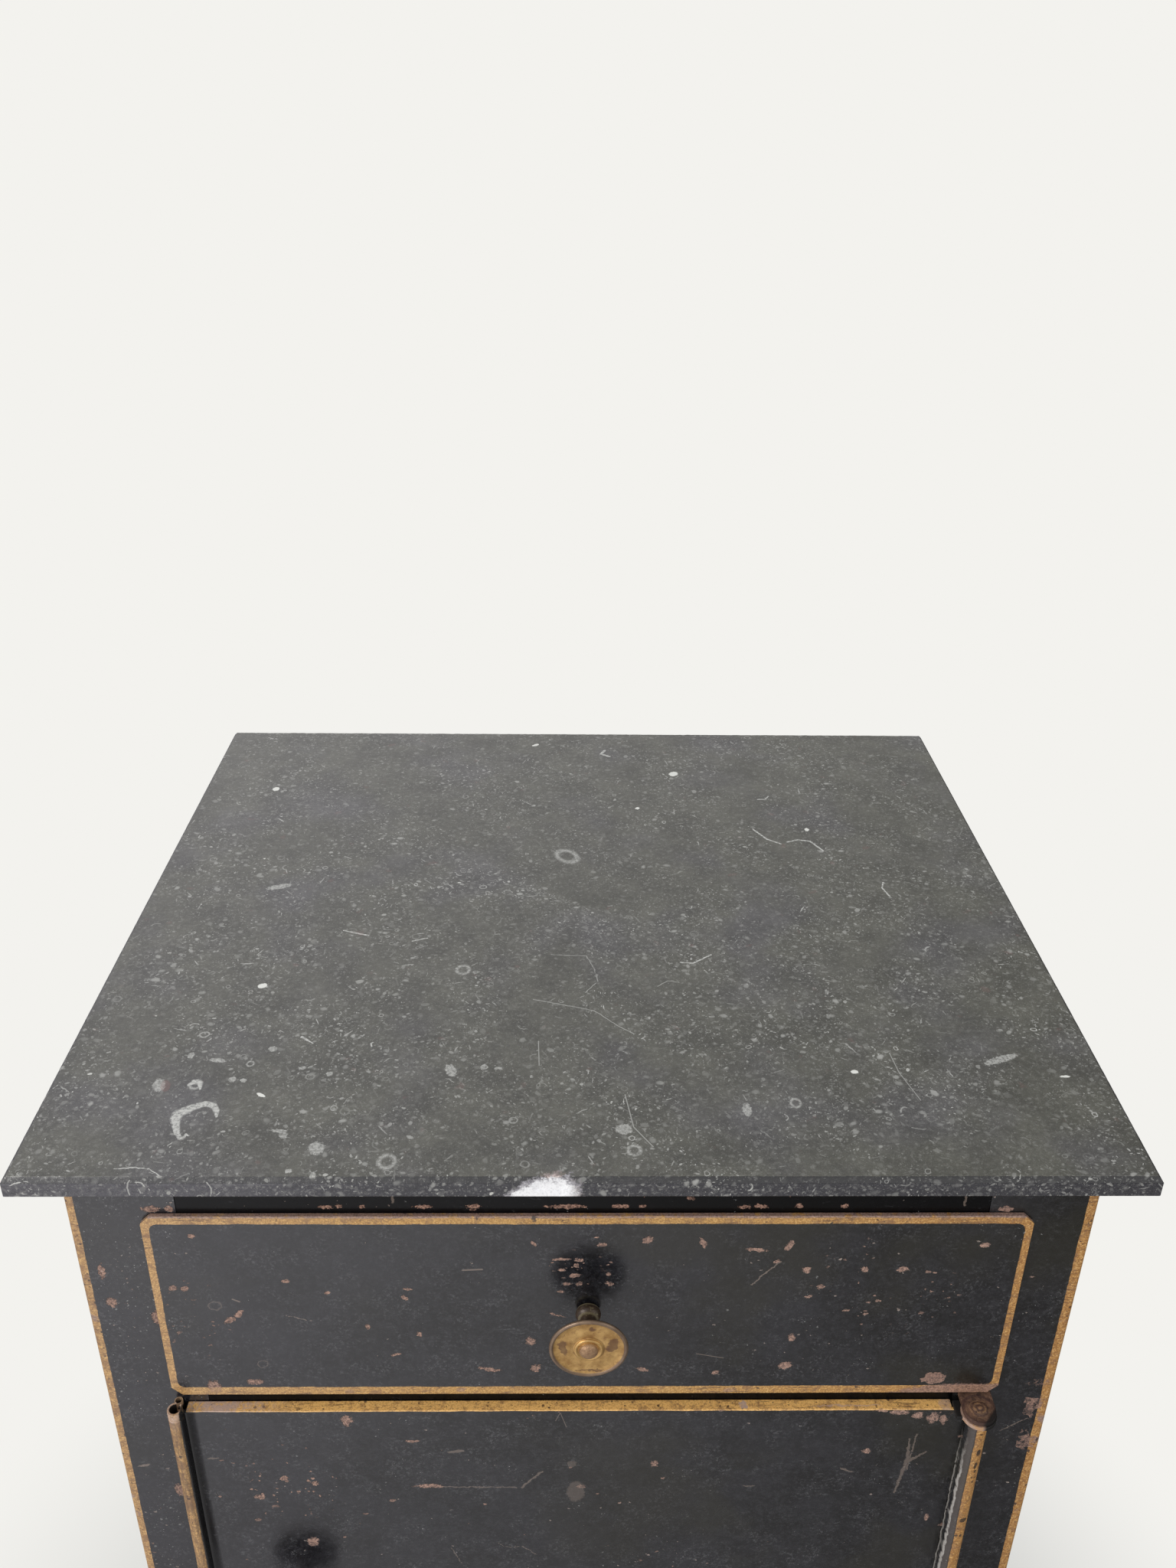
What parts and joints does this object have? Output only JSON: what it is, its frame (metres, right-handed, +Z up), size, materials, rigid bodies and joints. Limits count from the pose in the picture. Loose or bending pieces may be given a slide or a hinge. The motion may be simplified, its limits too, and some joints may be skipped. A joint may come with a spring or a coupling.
{
  "type": "side cabinet",
  "caption": "Tall narrow sheet-metal side cabinet with a thin stone top, a drawer over a hinged door, turned round knobs and short cut-out feet.",
  "frame": {"origin": "on the floor, under the middle of the whole cabinet's width and depth", "axes": "+X to the right as seen from the front, +Y from the front to the back, +Z up"},
  "size_m": [0.42, 0.391, 0.85],
  "materials": {
    "stone": "satin",
    "black_paint": "satin",
    "inner_paint": "matte",
    "brass": "satin",
    "rusted_iron": "matte",
    "bare_iron": "satin"
  },
  "bodies": {
    "cabinet": {"stone_top": "stone", "side_left": "black_paint", "side_right": "black_paint", "back_panel": "black_paint", "top_rail": "black_paint", "mid_rail": "black_paint", "bottom_rail": "black_paint", "drawer_deck": "inner_paint", "compartment_floor": "inner_paint", "drawer_runner_left": "inner_paint", "drawer_runner_right": "inner_paint", "shelf_ledge_left": "inner_paint", "shelf_ledge_right": "inner_paint", "inner_shelf": "inner_paint", "top_gussets": "inner_paint", "foot_braces": "inner_paint", "foot_soles": "rusted_iron", "side_rivets": "black_paint", "back_rivets": "black_paint", "latch_keeper": "bare_iron", "hinge_lug_upper": "rusted_iron", "hinge_lug_lower": "rusted_iron", "hinge_pin_upper": "rusted_iron", "hinge_pin_lower": "rusted_iron", "lug_rivets": "rusted_iron"},
    "drawer": {"drawer_front": "black_paint", "drawer_side_left": "inner_paint", "drawer_side_right": "inner_paint", "drawer_bottom": "inner_paint", "drawer_back": "inner_paint", "drawer_rivets": "inner_paint", "drawer_knob": "brass", "drawer_knob_screw": "bare_iron", "drawer_knob_washer": "bare_iron", "drawer_knob_nut": "bare_iron"},
    "door": {"door_panel": "black_paint", "door_ear_upper": "rusted_iron", "door_ear_lower": "rusted_iron", "latch_bush": "bare_iron"},
    "door_latch": {"door_knob": "brass", "latch_spindle": "bare_iron", "latch_tongue": "bare_iron", "latch_nut": "bare_iron"}
  },
  "joints": [
    {"name": "drawer_slide", "type": "slide", "parent": "cabinet", "child": "drawer", "axis": [0, -1, 0], "range_m": [0, 0.28]},
    {"name": "door_hinge", "type": "hinge", "parent": "cabinet", "child": "door", "pos_m": [0.1633, -0.17672, 0.417], "axis": [0, 0, 1], "range_deg": [0, 170]},
    {"name": "latch_turn", "type": "hinge", "parent": "door", "child": "door_latch", "pos_m": [-0.127, -0.17338, 0.594], "axis": [0, 1, 0], "range_deg": [0, 90]}
  ]
}
